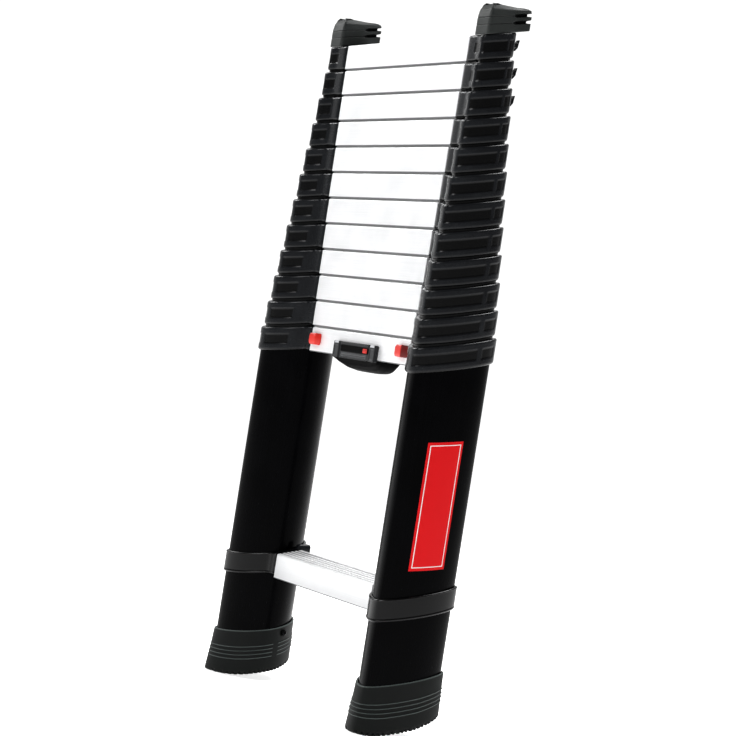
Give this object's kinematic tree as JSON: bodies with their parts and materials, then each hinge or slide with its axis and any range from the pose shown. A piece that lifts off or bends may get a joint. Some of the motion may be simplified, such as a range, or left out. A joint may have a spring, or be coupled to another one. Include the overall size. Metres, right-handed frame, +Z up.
{
  "type": "telescoping ladder",
  "caption": "Closed telescoping ladder: nested rounded-triangle tubes with collars, a tight stack of flat aluminium rungs, thumb release buttons, a clamped low rung, rubber feet and wall caps.",
  "frame": {"origin": "middle of the ladder's box, on the floor plane under the feet", "axes": "+Z up along the tubes, +X to the climber's right, -Y the climber's side, +Y the wall's side"},
  "size_m": [0.4832, 0.1152, 0.8787],
  "materials": {
    "black_tube": "black satin anodised",
    "bright_aluminium": "satin",
    "black_plastic": "fine grained",
    "grey_plastic": "fine grained",
    "rubber": "matte",
    "red_plastic": "semi-gloss",
    "label_film": "satin film",
    "steel": "zinc plated"
  },
  "bodies": {
    "base": {"outer_tube_left": "black_tube", "outer_tube_right": "black_tube", "top_collar_left": "black_plastic", "top_collar_right": "black_plastic", "rung_2": "bright_aluminium", "rung_1": "bright_aluminium", "rung_clamp_left": "black_plastic", "rung_clamp_right": "black_plastic", "foot_left": "rubber", "foot_right": "rubber", "foot_screw_left": "steel", "foot_screw_right": "steel", "centre_grip": "grey_plastic", "grip_badge": "black_plastic", "side_label": "label_film"},
    "section_3": {"stile_3_left": "black_tube", "stile_3_right": "black_tube", "rung_3": "bright_aluminium"},
    "section_4": {"stile_4_left": "black_tube", "stile_4_right": "black_tube", "rung_4": "bright_aluminium"},
    "section_5": {"stile_5_left": "black_tube", "stile_5_right": "black_tube", "rung_5": "bright_aluminium"},
    "section_6": {"stile_6_left": "black_tube", "stile_6_right": "black_tube", "rung_6": "bright_aluminium"},
    "section_7": {"stile_7_left": "black_tube", "stile_7_right": "black_tube", "rung_7": "bright_aluminium"},
    "section_8": {"stile_8_left": "black_tube", "stile_8_right": "black_tube", "rung_8": "bright_aluminium"},
    "section_9": {"stile_9_left": "black_tube", "stile_9_right": "black_tube", "rung_9": "bright_aluminium"},
    "section_10": {"stile_10_left": "black_tube", "stile_10_right": "black_tube", "rung_10": "bright_aluminium"},
    "section_11": {"stile_11_left": "black_tube", "stile_11_right": "black_tube", "rung_11": "bright_aluminium"},
    "section_12": {"stile_12_left": "black_tube", "stile_12_right": "black_tube", "rung_12": "bright_aluminium"},
    "section_13": {"stile_13_left": "black_tube", "stile_13_right": "black_tube", "rung_13": "bright_aluminium", "top_cap_left": "rubber", "top_cap_right": "rubber"},
    "button_left": {"release_button_left": "red_plastic", "lock_pin_left": "steel"},
    "button_right": {"release_button_right": "red_plastic", "lock_pin_right": "steel"}
  },
  "joints": [
    {"name": "slide_3", "type": "slide", "parent": "base", "child": "section_3", "axis": [0, 0, 1], "range_m": [0, 0.266]},
    {"name": "slide_4", "type": "slide", "parent": "section_3", "child": "section_4", "axis": [0, 0, 1], "range_m": [0, 0.266]},
    {"name": "slide_5", "type": "slide", "parent": "section_4", "child": "section_5", "axis": [0, 0, 1], "range_m": [0, 0.266]},
    {"name": "slide_6", "type": "slide", "parent": "section_5", "child": "section_6", "axis": [0, 0, 1], "range_m": [0, 0.266]},
    {"name": "slide_7", "type": "slide", "parent": "section_6", "child": "section_7", "axis": [0, 0, 1], "range_m": [0, 0.266]},
    {"name": "slide_8", "type": "slide", "parent": "section_7", "child": "section_8", "axis": [0, 0, 1], "range_m": [0, 0.266]},
    {"name": "slide_9", "type": "slide", "parent": "section_8", "child": "section_9", "axis": [0, 0, 1], "range_m": [0, 0.266]},
    {"name": "slide_10", "type": "slide", "parent": "section_9", "child": "section_10", "axis": [0, 0, 1], "range_m": [0, 0.266]},
    {"name": "slide_11", "type": "slide", "parent": "section_10", "child": "section_11", "axis": [0, 0, 1], "range_m": [0, 0.266]},
    {"name": "slide_12", "type": "slide", "parent": "section_11", "child": "section_12", "axis": [0, 0, 1], "range_m": [0, 0.266]},
    {"name": "slide_13", "type": "slide", "parent": "section_12", "child": "section_13", "axis": [0, 0, 1], "range_m": [0, 0.266]},
    {"name": "press_left", "type": "slide", "parent": "base", "child": "button_left", "axis": [1, 0, 0], "range_m": [0, 0.008], "stiffness_N_per_m": 400, "springref_m": -0.006},
    {"name": "press_right", "type": "slide", "parent": "base", "child": "button_right", "axis": [-1, 0, 0], "range_m": [0, 0.008], "stiffness_N_per_m": 400, "springref_m": -0.006}
  ]
}
